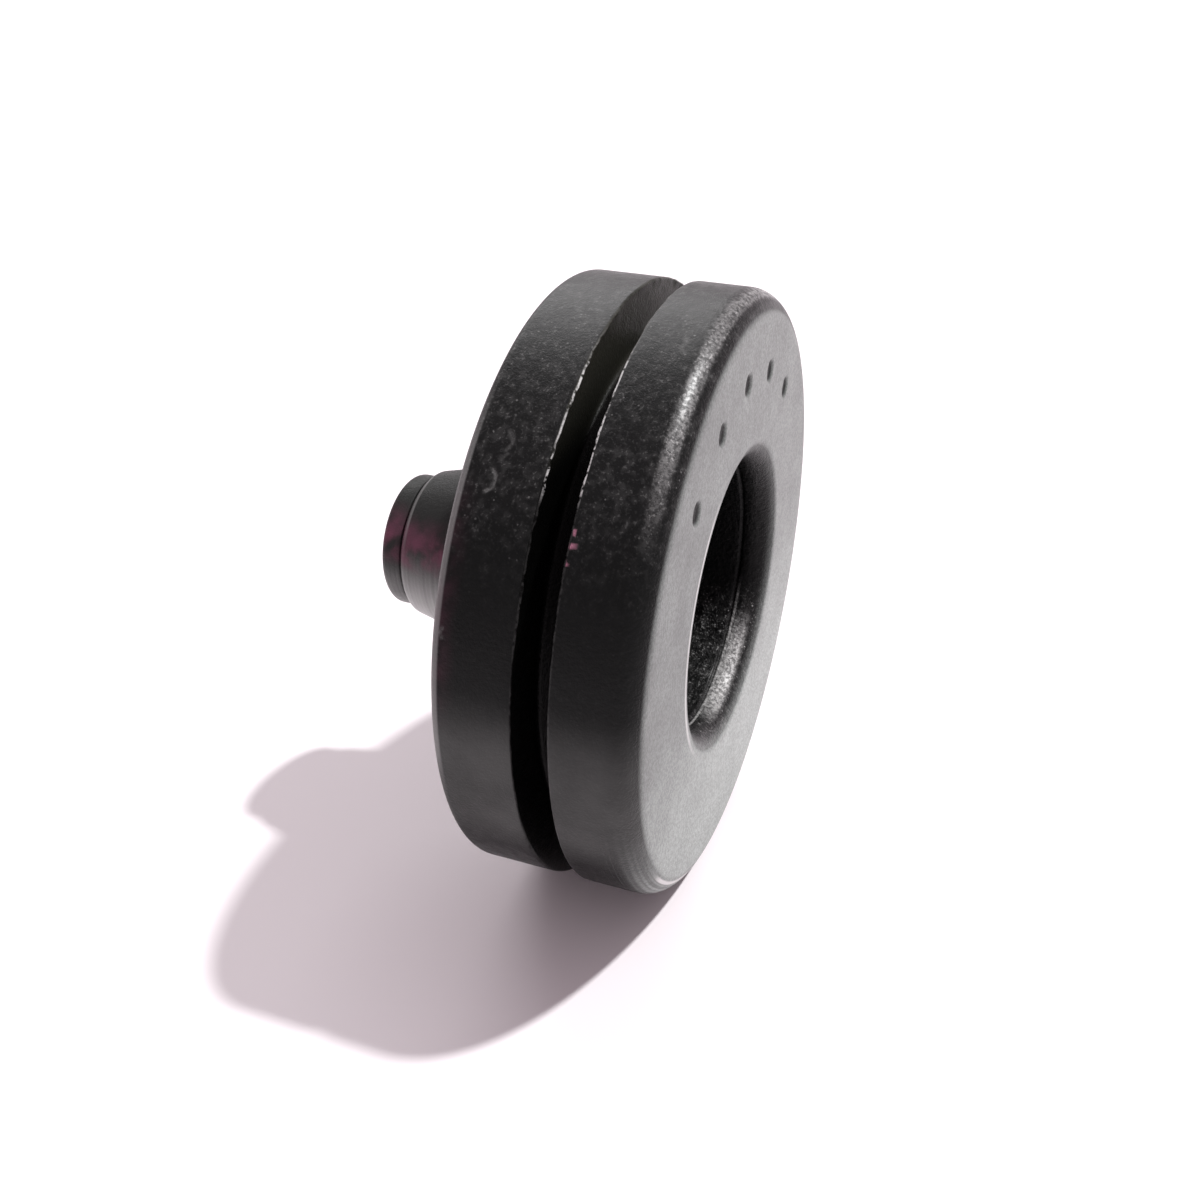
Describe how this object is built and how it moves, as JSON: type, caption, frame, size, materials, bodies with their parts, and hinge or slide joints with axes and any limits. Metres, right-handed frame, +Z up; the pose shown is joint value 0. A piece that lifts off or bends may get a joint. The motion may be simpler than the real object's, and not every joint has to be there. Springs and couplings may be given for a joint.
{
  "type": "rubber grommet",
  "caption": "Moulded black rubber panel grommet: two equal flanges with a groove between them, a wide bore in the front face and a hollow notched tail on the back.",
  "frame": {"origin": "on the axis, in the middle of the panel groove", "axes": "+Y runs along the axis from the front face to the tail; +Z is up as it stands on its two rims"},
  "size_m": [0.035, 0.021, 0.035],
  "materials": {
    "rubber": "satin moulded rubber with fine grain and light dust"
  },
  "bodies": {
    "root": {"grommet": "rubber"}
  },
  "joints": []
}
